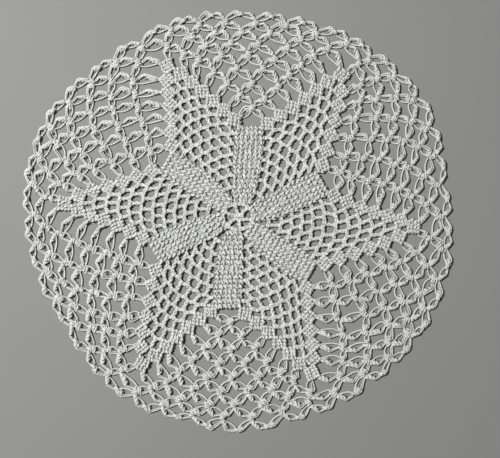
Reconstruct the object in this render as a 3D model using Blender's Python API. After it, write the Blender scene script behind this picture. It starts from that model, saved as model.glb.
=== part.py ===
# Lace doily: a six-pointed mesh star with solid spokes, set in a ring of open knotted loops.
# It lies flat on its underside, +Y is the top of the flat view, and sizes are in millimetres.
import bpy
import math
from mathutils import Vector
from mathutils.geometry import delaunay_2d_cdt

for old in list(bpy.data.objects):
    bpy.data.objects.remove(old, do_unlink=True)

MM = 0.001

# heights above the table, mm
PETAL_TOP = 1.5          # the drawn loops
CORNER_TOP = 1.7         # round the foot of a knot
KNOT_TOP = 2.7           # crown of a knot
SOLID_TOP = 2.2          # edge of a spoke or a block
CROWN_TOP = 2.6          # middle of a spoke or a block
NET_TOP = 1.3            # mesh of the star points
NET_SLOPE = 0.75         # width of the slope down to the mesh

# star
BLOCK_WIDTH = 7.6        # four stitches
BLOCK_TURN = 7.0        # degrees a block is turned away from its star point's axis
SIDE_DRIFT = (           # right and up, mm, halfway along a star point's row of blocks;
                         # anticlockwise side, clockwise side
    ((0.6, 0.2), (1.4, 0.1)), ((0.7, 0.1), (0.4, 0.1)), ((0.0, 0.0), (-0.2, -0.8)),
    ((1.0, 0.0), (0.0, -0.1)), ((0.8, -0.2), (1.5, 1.5)), ((0.7, 0.0), (-0.2, -0.2)))
BLOCK_HEIGHT = 7.3       # one round
FIRST_BLOCK_RADIUS = 59.0
SPOKE_END_RADIUS = 56.1
SPOKE_TURN = 7.8         # a spoke's straight side leans this many degrees off its own axis
SPOKE_SIDE = 1.3         # and passes this far from the centre
SOLID_ROUNDS = 6         # blocks up each side of a star point, before the one at its tip
SPOKE_ROWS = (           # distance from the centre, width
    (12.0, 9.4), (17.5, 11.6), (23.5, 13.8), (30.0, 15.6), (38.0, 16.9), (48.0, 17.3), (56.1, 17.4))
SPOKE_COLUMNS = ("distance", "width")
STAR_ROWS = (            # one row a star point, anticlockwise
    (52.4, 54.2, 105.7), (112.8, 115.1, 100.5), (171.8, 175.4, 105.0),
    (232.8, 236.6, 105.7), (293.6, 295.2, 103.7), (352.4, 357.0, 105.6))
STAR_COLUMNS = ("foot_angle", "tip_angle", "tip_radius")
BLOCK_ROWS = (           # one row a round: half angle of the point there, share of the way to the tip
    (20.3, 0.0), (15.1, 0.148), (10.8, 0.306), (7.6, 0.478), (5.1, 0.653), (2.85, 0.822), (0.0, 1.0))
BLOCK_COLUMNS = ("half_angle", "rise")

# centre ring of six eyelets
EYELETS = 6
EYELET_TURN = 9.0
EYELET_INNER = 3.0
EYELET_OUTER = 7.3
EYELET_BAR = 1.3         # thread between two eyelets
EYELET_SHIFT = (-0.7, 0.8)

# knotted-loop border
RIM_STEP = 15.0
RIM_RADII = (127.5, 128.7, 133.2, 130.8, 127.8, 124.4, 124.0, 124.4, 124.2, 125.0, 130.2, 130.5,
             128.4, 126.6, 123.6, 126.2, 128.6, 126.6, 129.6, 127.2, 128.1, 129.4, 130.6, 130.8)
LATTICE_ROWS = (         # one row a round: turn off the spoke's axis, step between knots, share of the depth
    (0.2, 0.0, 0.16), (0.9, 11.8, 0.236), (1.85, 10.7, 0.357), (3.15, 9.65, 0.488),
    (4.2, 9.0, 0.616), (5.35, 8.55, 0.721), (5.6, 8.35, 0.8375), (2.5, 8.57, 0.927))
LATTICE_COLUMNS = ("turn", "step", "depth")
DRIFT_STEP = 0.6
KNOT_DRIFT = (           # how far each knot lies off the even lattice, right and up, in DRIFT_STEP;
                         # one group a sextant, in it one row a round, clockwise
    (((0, 0),),
     ((1, 2), (0, 1)),
     ((0.5, 1), (0.5, 1), (2, 2)),
     ((1.5, 0), (0, 1), (1.5, 2), (3, 0.5)),
     ((1.5, 0), (0, 0), (1, 0), (1.5, -1), (3.5, -1.5)),
     ((3, -0.5), (0, 0), (-1, 0), (0.5, 0), (4, 0.5), (5, -2)),
     ((3, -1.5), (2.5, -0.5), (-1.5, -2), (-3, -2), (-2, -1), (2, -1.5), (3, -2)),
     ((3, 1), (3, -1), (0, -2.5), (0, -3), (1, -1), (2.5, -3.5), (4, -1.5))),
    (((1.5, -0.5),),
     ((-1.5, -2), (-2.5, 1.5)),
     ((-1.5, -3), (-2.5, -2), (-4, -0.5)),
     ((-2, -2), (-2, -2), (-3.5, -2.5), (-3, -1.5)),
     ((1, -1), (-2.5, -4), (-4, -4), (-4, -3), (-2, -4)),
     ((1, -0.5), (0, -4), (-4, -4), (-3, -4), (-2.5, -3.5), (-1, -3.5)),
     ((2.5, -3), (-1, -5), (-1.5, -4), (-2, -6), (-2.5, -4.5), (-2.5, -4), (1.5, -3.5)),
     ((-0.5, -1.5), (-1, -3), (-1.5, -3), (-1.5, -3), (-2, -3), (-1, -2.5), (2, -2.5))),
    (((1.5, -2.5),),
     ((-1, -3.5), (-3, -3)),
     ((0, -2.5), (0, -3), (0.5, -3.5)),
     ((1, -3), (0, -3), (0, -2.5), (0, -1.5)),
     ((0.5, -1), (0.5, -3), (0, -2), (0.5, -0.5), (0.5, 1)),
     ((0, 1.5), (1.5, 2), (0, -2), (0, -2), (0.5, 1), (-1.5, 3.5)),
     ((0.5, 2), (3, 1.5), (5, 1.5), (0, -0.5), (1, 0), (1, 1.5), (0, 1.5)),
     ((-0.5, 1.5), (1.5, 2.5), (1, 2), (0, 3), (2.5, 2.5), (1.5, 0.5), (2, -0.5))),
    (((4.5, 7),),
     ((2.5, 3), (4.5, 1.5)),
     ((2.5, 5), (3.5, 3.5), (2.5, 0)),
     ((-1, 3), (2.5, 6.5), (2, 4), (0, 0.5)),
     ((-2, 3.5), (0, 7), (0.5, 7.5), (1, 2.5), (-1.5, 2)),
     ((-5.5, 3.5), (-2.5, 3.5), (-0.5, 8), (-1, 5), (-2, 1), (-2, 1)),
     ((-7, -1), (-2.5, 4), (-1.5, 5.5), (-0.5, 8.5), (1, 2.5), (-0.5, 0.5), (-1.5, 4)),
     ((-4, 4), (-1.5, 4), (-3, 5), (0, 6), (-1, 1.5), (-1, 2.5), (0, 4))),
    (((3, 0),),
     ((5, -2), (4.5, -1.5)),
     ((2.5, 0), (4.5, -1.5), (3, -3)),
     ((0.5, 1.5), (3, 0.5), (7, -1.5), (3, -3.5)),
     ((-2.5, -1), (0.5, 1.5), (2.5, 1), (1, -2.5), (-2, -0.5)),
     ((-2.5, -3), (-1.5, -1), (1.5, 0), (2.5, 0), (0, -1), (-4, 0)),
     ((-2.5, 1), (-3.5, 1.5), (-1.5, 1), (0.5, 0.5), (-1, 0), (-2, 1.5), (-6, 2)),
     ((0, 0), (-3, 0), (-2.5, 0), (-2.5, -0.5), (-2, 0), (-4, 4), (-6, 1.5))),
    (((-3, 1.5),),
     ((-1.5, 0.5), (-2, 3)),
     ((-1.5, 0), (-1, 2), (-3, 4.5)),
     ((-1.5, -1), (-1.5, -0.5), (-3.5, 3.5), (-4, 4)),
     ((0, -4), (-2, -1), (-4, 1), (-4, 2), (-5, 3)),
     ((3, -6), (-2, -2), (-2, 0), (-3.5, 2.5), (-4.5, 3.5), (-5, 1.5)),
     ((2.5, -3), (-1.5, -0.5), (-4, 0.5), (-3.5, 1.5), (-5.5, 4.5), (-4.5, 3), (-4.5, 3.5)),
     ((-1.5, -3), (-0.5, -0.5), (-2.5, 0), (-3.5, -0.5), (-3.5, 3.5), (-3, 5), (-1.5, 3.5))))
PER_SEXTANT = 7          # knots in a full round of a sextant
RIM_KNOT_DROP = 1.4      # a free knot lies this far inside the rim
PETAL_LOOP = 1.85        # half width of a petal, on its open side
PETAL_BACK = 1.55        # and on its doubled side
RIM_HUMP = 2.1           # outer side of a rim petal
ARM_HALF = 1.0           # half width of a petal where it meets a knot
KNOT_MIN, KNOT_MAX = 1.25, 2.3
SHARP_GAP = 62.0         # a petal is narrower beside a gap with a corner sharper than this
MOUTH = 1.5              # a petal's foot takes this much of each side of a block's corner

star_rows = [dict(zip(STAR_COLUMNS, row)) for row in STAR_ROWS]
block_rows = [dict(zip(BLOCK_COLUMNS, row)) for row in BLOCK_ROWS]
lattice_rows = [dict(zip(LATTICE_COLUMNS, row)) for row in LATTICE_ROWS]
spoke_rows = [dict(zip(SPOKE_COLUMNS, row)) for row in SPOKE_ROWS]


def polar(angle, radius):
    turn = math.radians(angle)
    return Vector((math.cos(turn), math.sin(turn))) * radius


def rim_radius(angle):
    """Smooth curve through the rim table."""
    place = (angle % 360.0) / RIM_STEP
    first = int(place)
    t = place - first
    a, b, c, d = (RIM_RADII[(first + step) % len(RIM_RADII)] for step in (-1, 0, 1, 2))
    return 0.5 * (2 * b + (c - a) * t + (2 * a - 5 * b + 4 * c - d) * t * t
                  + (3 * b - a - 3 * c + d) * t ** 3)


def block_place(star, side, number):
    """Angle and radius of a block's middle; side is 1 anticlockwise of the point, -1 clockwise."""
    turns, index = divmod(star, len(star_rows))
    point, row = star_rows[index], block_rows[number - 1]
    radius = FIRST_BLOCK_RADIUS + (point["tip_radius"] - FIRST_BLOCK_RADIUS) * row["rise"]
    middle = point["foot_angle"] + (point["tip_angle"] - point["foot_angle"]) * row["rise"]
    return middle + side * row["half_angle"] + 360.0 * turns, radius


def block_point(star, side, number, across, along):
    """A point of a block: across is away from the star point's axis, along is outward."""
    angle, radius = block_place(star, side, number)
    out = polar(angle + (side * BLOCK_TURN if number < len(block_rows) else 0.0), 1.0)
    away = Vector((-out.y, out.x)) * side
    bell = math.sin(math.pi * number / len(block_rows))
    middle = polar(angle, radius) + Vector(SIDE_DRIFT[star % len(star_rows)][0 if side > 0 else 1]) * bell
    return middle + out * (along * BLOCK_HEIGHT / 2) + away * (across * BLOCK_WIDTH / 2)


def spoke_axis(spoke):
    return (block_place(spoke, 1, 1)[0] + block_place(spoke + 1, -1, 1)[0]) / 2


def spoke_side(spoke, left, distance):
    """A point on the straight (left) or widening (right) side of a spoke."""
    out = polar(spoke_axis(spoke) + SPOKE_TURN, 1.0)
    away = Vector((-out.y, out.x))
    if left:
        return out * distance + away * SPOKE_SIDE
    width = spoke_rows[-1]["width"]
    for low, high in zip(spoke_rows, spoke_rows[1:]):
        if distance <= high["distance"]:
            t = max(0.0, (distance - low["distance"]) / (high["distance"] - low["distance"]))
            width = low["width"] + (high["width"] - low["width"]) * t
            break
    return out * distance + away * (SPOKE_SIDE - width)


def knot(spoke, level, place):
    """Middle of a knot; level counts rounds outward, place counts clockwise in the sextant."""
    count = min(level, PER_SEXTANT)
    if place > count:
        return knot(spoke - 1, level, place - count)
    if place < 1:
        return knot(spoke + 1, level, place + count)
    row = lattice_rows[level - 1]
    angle = spoke_axis(spoke) + row["turn"] + ((count + 1) / 2 - place) * row["step"]
    radius = SPOKE_END_RADIUS + (rim_radius(angle) - SPOKE_END_RADIUS) * row["depth"]
    return polar(angle, radius) + Vector(KNOT_DRIFT[spoke % len(KNOT_DRIFT)][level - 1][place - 1]) * DRIFT_STEP


def rim_knot(spoke, place):
    before, after = knot(spoke, 8, place), knot(spoke, 8, place + 1)
    middle = (before + after) / 2
    angle = math.degrees(math.atan2(middle.y, middle.x))
    return polar(angle, rim_radius(angle) - RIM_KNOT_DROP)


def mouth(star, side, number, upper):
    """Where a petal's edge meets its block: on the outer edge (upper) or on the side edge."""
    if upper:
        return block_point(star, side, number, 1 - 2 * MOUTH / BLOCK_WIDTH, 1)
    return block_point(star, side, number, 1, 1 - 2 * MOUTH / BLOCK_HEIGHT)


def root(star, side, number):
    return (mouth(star, side, number, True) + mouth(star, side, number, False)) / 2


class Sheet:
    """Plan of the sheet: points with a height, edges kept by the triangulation, and openings."""

    def __init__(self):
        self.points = []
        self.heights = []
        self.edges = []
        self.border = []
        self.openings = []

    def add(self, point, height):
        self.points.append(Vector((point.x, point.y)))
        self.heights.append(height)
        return len(self.points) - 1

    def loop(self, corners, opening=False, border=False):
        ids = [self.add(point, height) for point, height in corners]
        self.edges += list(zip(ids, ids[1:] + ids[:1]))
        if opening or border:
            self.border.append(ids)
        if opening:
            self.openings.append([self.points[i] for i in ids])


sheet = Sheet()


# An opening is walked as a list of stops. A stop is (kind, point, end): kind is "knot", "foot"
# (a petal's edge meeting a block) or "edge" (a bare corner of the star), and end is the end of
# the petal's middle line. A petal joins two stops when one is a knot and neither is an "edge".
def knot_stop(point):
    return "knot", point, point


def foot_stop(star, side, number, upper):
    return "foot", mouth(star, side, number, upper), root(star, side, number)


def edge_stop(point):
    return "edge", point, point


def middle_of(stops):
    return sum((stop[1] for stop in stops), Vector((0.0, 0.0))) / len(stops)


def toward(direction, inside):
    """The direction turned a quarter, to the side that points the way of inside."""
    turned = Vector((-direction.y, direction.x)).normalized()
    return turned if turned.dot(inside) > 0 else -turned


def knot_foot(before, here, after, inside):
    """Foot of a knot in the angle between two petals."""
    one, two = (before - here).normalized(), (after - here).normalized()
    total = one + two
    turn = total.normalized() if total.length > 0.6 else toward(after - before, inside - here)
    half = one.angle(two) / 2
    return here + turn * min(KNOT_MAX, max(KNOT_MIN, ARM_HALF / max(0.2, math.sin(half))))


def petal_side(before, start, end, after, inside):
    """Widest point of the side of a petal that faces inside; narrower where the gap is sharp."""
    run = end - start
    middle = (start + end) / 2
    away = toward(run, inside - middle)
    inward = away.dot(middle) < 0
    sharpest = min(math.degrees(run.angle(before - start, math.pi)),
                   math.degrees((-run).angle(after - end, math.pi)))
    return middle + away * (PETAL_LOOP if inward else PETAL_BACK) * min(1.0, sharpest / SHARP_GAP)


def cut_opening(stops):
    inside = middle_of(stops)
    outline = []
    for index, stop in enumerate(stops):
        kind, point, end = stop
        before, after = stops[index - 1], stops[(index + 1) % len(stops)]
        if kind == "knot":
            outline.append((knot_foot(before[2], point, after[2], inside), CORNER_TOP))
        else:
            outline.append((point, SOLID_TOP))
        if "edge" not in (kind, after[0]) and "knot" in (kind, after[0]):
            far = stops[(index + 2) % len(stops)]
            outline.append((petal_side(before[2], end, after[2], far[2], inside), PETAL_TOP))
    sheet.loop(outline, opening=True)


def notch(star, side, number):
    """Where the side of the next block stands on this block's outer edge."""
    here, above = block_place(star, side, number)[1], block_place(star, side, number + 1)[1]
    return block_point(star, side, number + 1, 1, (here - above) / BLOCK_HEIGHT)


def cut_sextant(spoke):
    """All the openings of the border beyond one spoke."""
    left, right = (spoke + 1, -1), (spoke, 1)
    seat = 2 * (SPOKE_END_RADIUS - FIRST_BLOCK_RADIUS) / BLOCK_HEIGHT
    cut_opening([foot_stop(*left, 1, False), knot_stop(knot(spoke, 1, 1)), foot_stop(*right, 1, False),
                 edge_stop(block_point(*right, 1, 1, seat)), edge_stop(block_point(*left, 1, 1, seat))])
    for level in range(2, PER_SEXTANT + 1):
        low = level - 1
        cut_opening([knot_stop(knot(spoke, level, 1)), foot_stop(*left, level, False),
                     edge_stop(notch(*left, low)), foot_stop(*left, low, True),
                     knot_stop(knot(spoke, low, 1))])
        cut_opening([knot_stop(knot(spoke, level, level)), knot_stop(knot(spoke, low, low)),
                     foot_stop(*right, low, True), edge_stop(notch(*right, low)),
                     foot_stop(*right, level, False)])
        for place in range(1, level - 1):
            cut_opening([knot_stop(knot(spoke, level, place + 1)), knot_stop(knot(spoke, low, place + 1)),
                         knot_stop(knot(spoke, low - 1, place)), knot_stop(knot(spoke, low, place))])
    for place in range(1, PER_SEXTANT):
        cut_opening([knot_stop(knot(spoke, 8, place)), knot_stop(knot(spoke, 7, place + 1)),
                     knot_stop(knot(spoke, 6, place)), knot_stop(knot(spoke, 7, place))])
    cut_opening([knot_stop(knot(spoke, 8, 7)), knot_stop(knot(spoke, 7, 7)), foot_stop(spoke, 1, 7, True),
                 foot_stop(spoke, -1, 7, True), knot_stop(knot(spoke - 1, 7, 1))])
    for place in range(1, PER_SEXTANT + 1):
        cut_opening([knot_stop(rim_knot(spoke, place)), knot_stop(knot(spoke, 8, place + 1)),
                     knot_stop(knot(spoke, 7, place + 1)), knot_stop(knot(spoke, 8, place))])


def raise_knots(spoke):
    for level in range(1, 9):
        for place in range(1, min(level, PER_SEXTANT) + 1):
            sheet.add(knot(spoke, level, place), KNOT_TOP)
    for place in range(1, PER_SEXTANT + 1):
        sheet.add(rim_knot(spoke, place), KNOT_TOP)


def draw_rim():
    """The outer edge: a foot outside each knot and a hump on each petal."""
    chain = []
    for spoke in range(len(star_rows)):
        for place in range(1, PER_SEXTANT + 1):
            chain += [knot(-spoke, 8, place), rim_knot(-spoke, place)]
    outline = []
    for index, here in enumerate(chain):
        after = chain[(index + 1) % len(chain)]
        middle = (here + after) / 2
        outline.append((here * (1 + KNOT_MIN / here.length), CORNER_TOP))
        outline.append((middle + toward(after - here, middle) * RIM_HUMP, PETAL_TOP))
    sheet.loop(outline, border=True)


def inset(loop, distance):
    """The same loop moved inward by a distance."""
    area = sum(a.cross(b) for a, b in zip(loop, loop[1:] + loop[:1]))
    moved = []
    for index, here in enumerate(loop):
        one = (here - loop[index - 1]).normalized()
        two = (loop[(index + 1) % len(loop)] - here).normalized()
        sign = 1 if area > 0 else -1
        normal = (Vector((-one.y, one.x)) + Vector((-two.y, two.x))) * sign
        moved.append(here + normal * (distance / max(0.3, 1 + one.dot(two))))
    return moved


def sink_net(star):
    """The mesh of a star point lies lower than the solid stitches round it."""
    loop = [spoke_side(star, False, row["distance"]) for row in spoke_rows[:-1]]
    loop.append(spoke_side(star, False, 53.0))
    for number in range(1, SOLID_ROUNDS):
        loop += [block_point(star, 1, number, -1, along) for along in (-1, 1)]
    for number in range(SOLID_ROUNDS - 1, 0, -1):
        loop += [block_point(star, -1, number, -1, along) for along in (1, -1)]
    loop += [spoke_side(star - 1, True, distance) for distance in (55.0, 13.5)]
    sheet.loop([(point, SOLID_TOP) for point in loop])
    sheet.loop([(point, NET_TOP) for point in inset(loop, NET_SLOPE)])


def crown_solids(star):
    for number in range(1, SOLID_ROUNDS + 2):
        for side in ((1, -1) if number <= SOLID_ROUNDS else (1,)):
            sheet.add(block_point(star, side, number, 0, 0), CROWN_TOP)
    for row in spoke_rows[1:-1]:
        left, right = (spoke_side(star, side, row["distance"]) for side in (True, False))
        sheet.add((left + right) / 2, CROWN_TOP)


def cut_eyelet(number):
    """A blunt three-cornered hole of the centre ring."""
    outline = []
    for radius, sides in ((EYELET_INNER, (1, -1)), (EYELET_OUTER, (-1, 1))):
        half = 180.0 / EYELETS - math.degrees(math.asin(EYELET_BAR / 2 / radius))
        for side in sides:
            angle = EYELET_TURN + 360.0 / EYELETS * number + side * half
            outline.append((polar(angle, radius) + Vector(EYELET_SHIFT), CORNER_TOP))
    sheet.loop(outline, opening=True)


for sextant in range(len(star_rows)):
    cut_sextant(sextant)
    raise_knots(sextant)
    sink_net(sextant)
    crown_solids(sextant)
for eyelet in range(EYELETS):
    cut_eyelet(eyelet)
sheet.add(Vector(EYELET_SHIFT), SOLID_TOP)
draw_rim()
print("openings", len(sheet.openings), "points", len(sheet.points))


def inside_loop(point, loop):
    hit = False
    for a, b in zip(loop, loop[1:] + loop[:1]):
        if (a.y > point.y) != (b.y > point.y):
            if point.x < a.x + (point.y - a.y) * (b.x - a.x) / (b.y - a.y):
                hit = not hit
    return hit


def triangulate(points, edges, openings, outer):
    """Triangles of the sheet's plan inside its outer edge, without those that lie in an opening."""
    out_points, _, faces, origins, _, _ = delaunay_2d_cdt(points, edges, [], 1, 1e-6, True)
    if len(out_points) != len(points) or any(len(origin) != 1 for origin in origins):
        raise ValueError("edges of the plan cross: %d points became %d" % (len(points), len(out_points)))
    rounds = []
    for loop in openings:
        middle = sum(loop, Vector((0.0, 0.0))) / len(loop)
        rounds.append((middle, max((corner - middle).length for corner in loop), loop))
    kept = []
    for face in faces:
        middle = sum((out_points[i] for i in face), Vector((0.0, 0.0))) / len(face)
        open_here = any((middle - centre).length < reach and inside_loop(middle, loop)
                        for centre, reach, loop in rounds)
        if not open_here and inside_loop(middle, outer):
            kept.append([origins[i][0] for i in face])
    return kept


def build_mesh(name):
    outer = [sheet.points[i] for i in sheet.border[-1]]
    top = triangulate(sheet.points, sheet.edges, sheet.openings, outer)
    rim_ids = [index for loop in sheet.border for index in loop]
    place = {index: number for number, index in enumerate(rim_ids)}
    rim_edges = [(place[a], place[b]) for loop in sheet.border for a, b in zip(loop, loop[1:] + loop[:1])]
    under = triangulate([sheet.points[i] for i in rim_ids], rim_edges, sheet.openings, outer)
    centre = Vector((sum(f(p.x for p in outer) for f in (min, max)) / 2,
                     sum(f(p.y for p in outer) for f in (min, max)) / 2))
    print("centre of the star", -centre, "mm from the middle of the outline")
    flat = [point - centre for point in sheet.points]
    count = len(flat)
    vertices = [(p.x * MM, p.y * MM, z * MM) for p, z in zip(flat, sheet.heights)]
    vertices += [(flat[i].x * MM, flat[i].y * MM, 0.0) for i in rim_ids]
    faces = [tuple(face) for face in top]
    faces += [tuple(count + i for i in reversed(face)) for face in under]
    for loop in sheet.border:
        corners = [sheet.points[i] for i in loop]
        area = sum(a.cross(b) for a, b in zip(corners, corners[1:] + corners[:1]))
        outward = (area > 0) == (loop is sheet.border[-1])
        for a, b in zip(loop, loop[1:] + loop[:1]):
            if not outward:
                a, b = b, a
            low_a, low_b = count + place[a], count + place[b]
            faces += [(a, low_a, low_b), (a, low_b, b)]
    mesh = bpy.data.meshes.new(name)
    mesh.from_pydata(vertices, [], faces)
    mesh.validate()
    mesh.update()
    body = bpy.data.objects.new(name, mesh)
    bpy.context.scene.collection.objects.link(body)
    print(name, "triangles", len(mesh.polygons))
    return body


def cotton(name, colour, roughness):
    material = bpy.data.materials.new(name)
    material.use_nodes = True
    shader = material.node_tree.nodes["Principled BSDF"]
    shader.inputs["Base Color"].default_value = (*colour, 1.0)
    shader.inputs["Roughness"].default_value = roughness
    return material


doily = build_mesh("doily")
doily.data.materials.append(cotton("white cotton", (0.74, 0.76, 0.73), 0.85))
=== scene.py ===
# Lace doily in white crochet cotton, every strand modelled, laid flat on a plain pale table.
import bpy
import math
import random
import numpy as np
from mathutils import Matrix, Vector


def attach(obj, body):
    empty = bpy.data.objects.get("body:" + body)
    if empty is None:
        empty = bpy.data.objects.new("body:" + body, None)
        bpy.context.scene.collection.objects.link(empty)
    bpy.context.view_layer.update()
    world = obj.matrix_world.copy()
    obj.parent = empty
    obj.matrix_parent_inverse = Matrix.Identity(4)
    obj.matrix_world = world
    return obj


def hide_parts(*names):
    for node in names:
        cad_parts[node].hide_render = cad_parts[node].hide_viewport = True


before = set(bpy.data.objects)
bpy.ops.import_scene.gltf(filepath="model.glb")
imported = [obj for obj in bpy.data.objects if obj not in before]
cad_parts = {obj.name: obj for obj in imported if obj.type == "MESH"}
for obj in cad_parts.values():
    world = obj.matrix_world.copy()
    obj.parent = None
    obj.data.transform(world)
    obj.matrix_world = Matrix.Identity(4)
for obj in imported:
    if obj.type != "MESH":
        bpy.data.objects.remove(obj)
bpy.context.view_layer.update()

mm = 0.001
rng = random.Random(20)


# lamps' places and sizes in m, their powers in W
stageSettings = dict(
    lookAt=(7.4, -4.25),         # mm, middle of the view
    widthSeen=300.3,             # mm across the view
    laceHeight=1.5,              # mm above the table, where that width is seen
    lens=60.0, sensor=36.0,      # mm
    keyPlace=(-0.76, 0.36, 1.12), keySize=0.28, keyPower=26.6,
    fillPlace=(0.55, -0.35, 0.75), fillSize=0.9, fillPower=0.35,
    skyTone=(0.96, 0.98, 1.0), skyStrength=0.056)

cameraData = bpy.data.cameras.new("camera")
cameraData.lens = stageSettings["lens"]
cameraData.sensor_width = stageSettings["sensor"]
cameraData.dof.use_dof = False
camera = bpy.data.objects.new("camera", cameraData)
bpy.context.scene.collection.objects.link(camera)
viewDistance = stageSettings["widthSeen"] * stageSettings["lens"] / stageSettings["sensor"]
cameraHeight = viewDistance + stageSettings["laceHeight"]
camera.location = (stageSettings["lookAt"][0] * mm, stageSettings["lookAt"][1] * mm, cameraHeight * mm)
camera.rotation_euler = (0, 0, 0)
bpy.context.scene.camera = camera


def softLight(name, place, size, power):
    # a round lamp that faces the middle of the table
    data = bpy.data.lights.new(name, "AREA")
    data.shape, data.size, data.energy = "DISK", size, power
    lamp = bpy.data.objects.new(name, data)
    lamp.location = place
    lamp.rotation_euler = (-Vector(place)).to_track_quat("-Z", "Y").to_euler()
    bpy.context.scene.collection.objects.link(lamp)


softLight("keyLight", stageSettings["keyPlace"], stageSettings["keySize"], stageSettings["keyPower"])
softLight("fillLight", stageSettings["fillPlace"], stageSettings["fillSize"], stageSettings["fillPower"])
world = bpy.data.worlds.new("softSky")
world.use_nodes = True
background = world.node_tree.nodes["Background"]
background.inputs["Color"].default_value = (*stageSettings["skyTone"], 1)
background.inputs["Strength"].default_value = stageSettings["skyStrength"]
bpy.context.scene.world = world
bpy.context.scene.view_settings.view_transform = "Standard"
print("camera and lights set")


class Wire:
    # a socket that can be used in sums; anything that isn't a sum comes from node()
    def __init__(self, tree, socket):
        self.tree, self.socket = tree, socket

    def node(self, kind, settings=None, **inputs):
        # a socket goes by its name, with _ for a space, or by a letter i and its number
        made = self.tree.nodes.new(kind)
        for name, value in (settings or {}).items():
            setattr(made, name, value)
        for name, value in inputs.items():
            number = name[1:]
            socket = made.inputs[int(number) if number.isdigit() else name.replace("_", " ")]
            if isinstance(value, Wire):
                value.feed(socket)
            elif socket.type == "RGBA":
                socket.default_value = (*value, 1)
            else:
                socket.default_value = value
        return made

    def out(self, kind, output=0, settings=None, **inputs):
        return Wire(self.tree, self.node(kind, settings, **inputs).outputs[output])

    def feed(self, socket):
        self.tree.links.new(self.socket, socket)

    def maths(self, operation, one, two=None):
        inputs = {"i0": one} if two is None else {"i0": one, "i1": two}
        return self.out("ShaderNodeMath", 0, {"operation": operation}, **inputs)

    def __abs__(self):
        return self.maths("ABSOLUTE", self)

    def __pow__(self, other):
        return self.maths("POWER", self, other)

    def __rpow__(self, other):
        return self.maths("POWER", other, self)

    def __add__(self, other):
        return self.maths("ADD", self, other)

    def __radd__(self, other):
        return self.maths("ADD", other, self)

    def __sub__(self, other):
        return self.maths("SUBTRACT", self, other)

    def __rsub__(self, other):
        return self.maths("SUBTRACT", other, self)

    def __mul__(self, other):
        return self.maths("MULTIPLY", self, other)

    def __rmul__(self, other):
        return self.maths("MULTIPLY", other, self)

    def sine(self):
        return self.maths("SINE", self)

    def clamped(self):
        return self.out("ShaderNodeClamp", 0, None, Value=self)

    def blend(self, low, high):
        # a colour between two, by this value
        return self.out("ShaderNodeMix", 2, {"data_type": "RGBA"}, i0=self, i6=low, i7=high)

    def noise(self, place, scale, detail, roughness=0.5):
        return self.out("ShaderNodeTexNoise", 0, None, Vector=place, Scale=scale, Detail=detail,
                        Roughness=roughness)


def newMaterial(name):
    material = bpy.data.materials.new(name)
    material.use_nodes = True
    shader = material.node_tree.nodes["Principled BSDF"]
    return material, shader, Wire(material.node_tree, None)


cottonSettings = dict(
    deep=(0.17, 0.173, 0.168),                       # painted colour of thread in deepest shade
    shade=(0.46, 0.466, 0.452), light=(0.84, 0.85, 0.82),   # thread in the open, dullest and brightest; the dull end also stands for painted shade in the ply grooves
    plyShare=0.42, fuzzShare=0.50, toneShare=0.26, litBelow=0.12,   # what brightens it, less a set amount: ply crests over their grooves (painted shade), fuzz and strand tone (random)
    warm=(0.88, 0.87, 0.835), warmWhite=0.9,         # a warm cloud, and the plain white it stands against
    warmFrom=0.42, warmGain=1.6, warmMost=0.4,       # where a cloud starts, how fast it grows, its most
    plies=3, plyPitch=1.9,                           # mm for a ply to go once round
    fuzzSize=0.22, fuzzDetail=3.0, fuzzRoughness=0.65,   # mm
    cloudSize=30.0, cloudDetail=2.0,                 # mm
    patchSize=3.2, patchDetail=1.0, patchSpan=0.62,  # mm across a duller patch, and how strong it is
    flankShadeSpan=0.74, flankShadePower=0.7,                    # how much darker a flank is painted (painted shade), and how soon
    bumpDepth=0.10, plyRelief=0.7, fuzzRelief=0.5,   # mm, and shares of it
    roughLow=0.78, roughHigh=0.95, sheen=0.05, sheenRoughness=0.5, specular=0.3)


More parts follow.
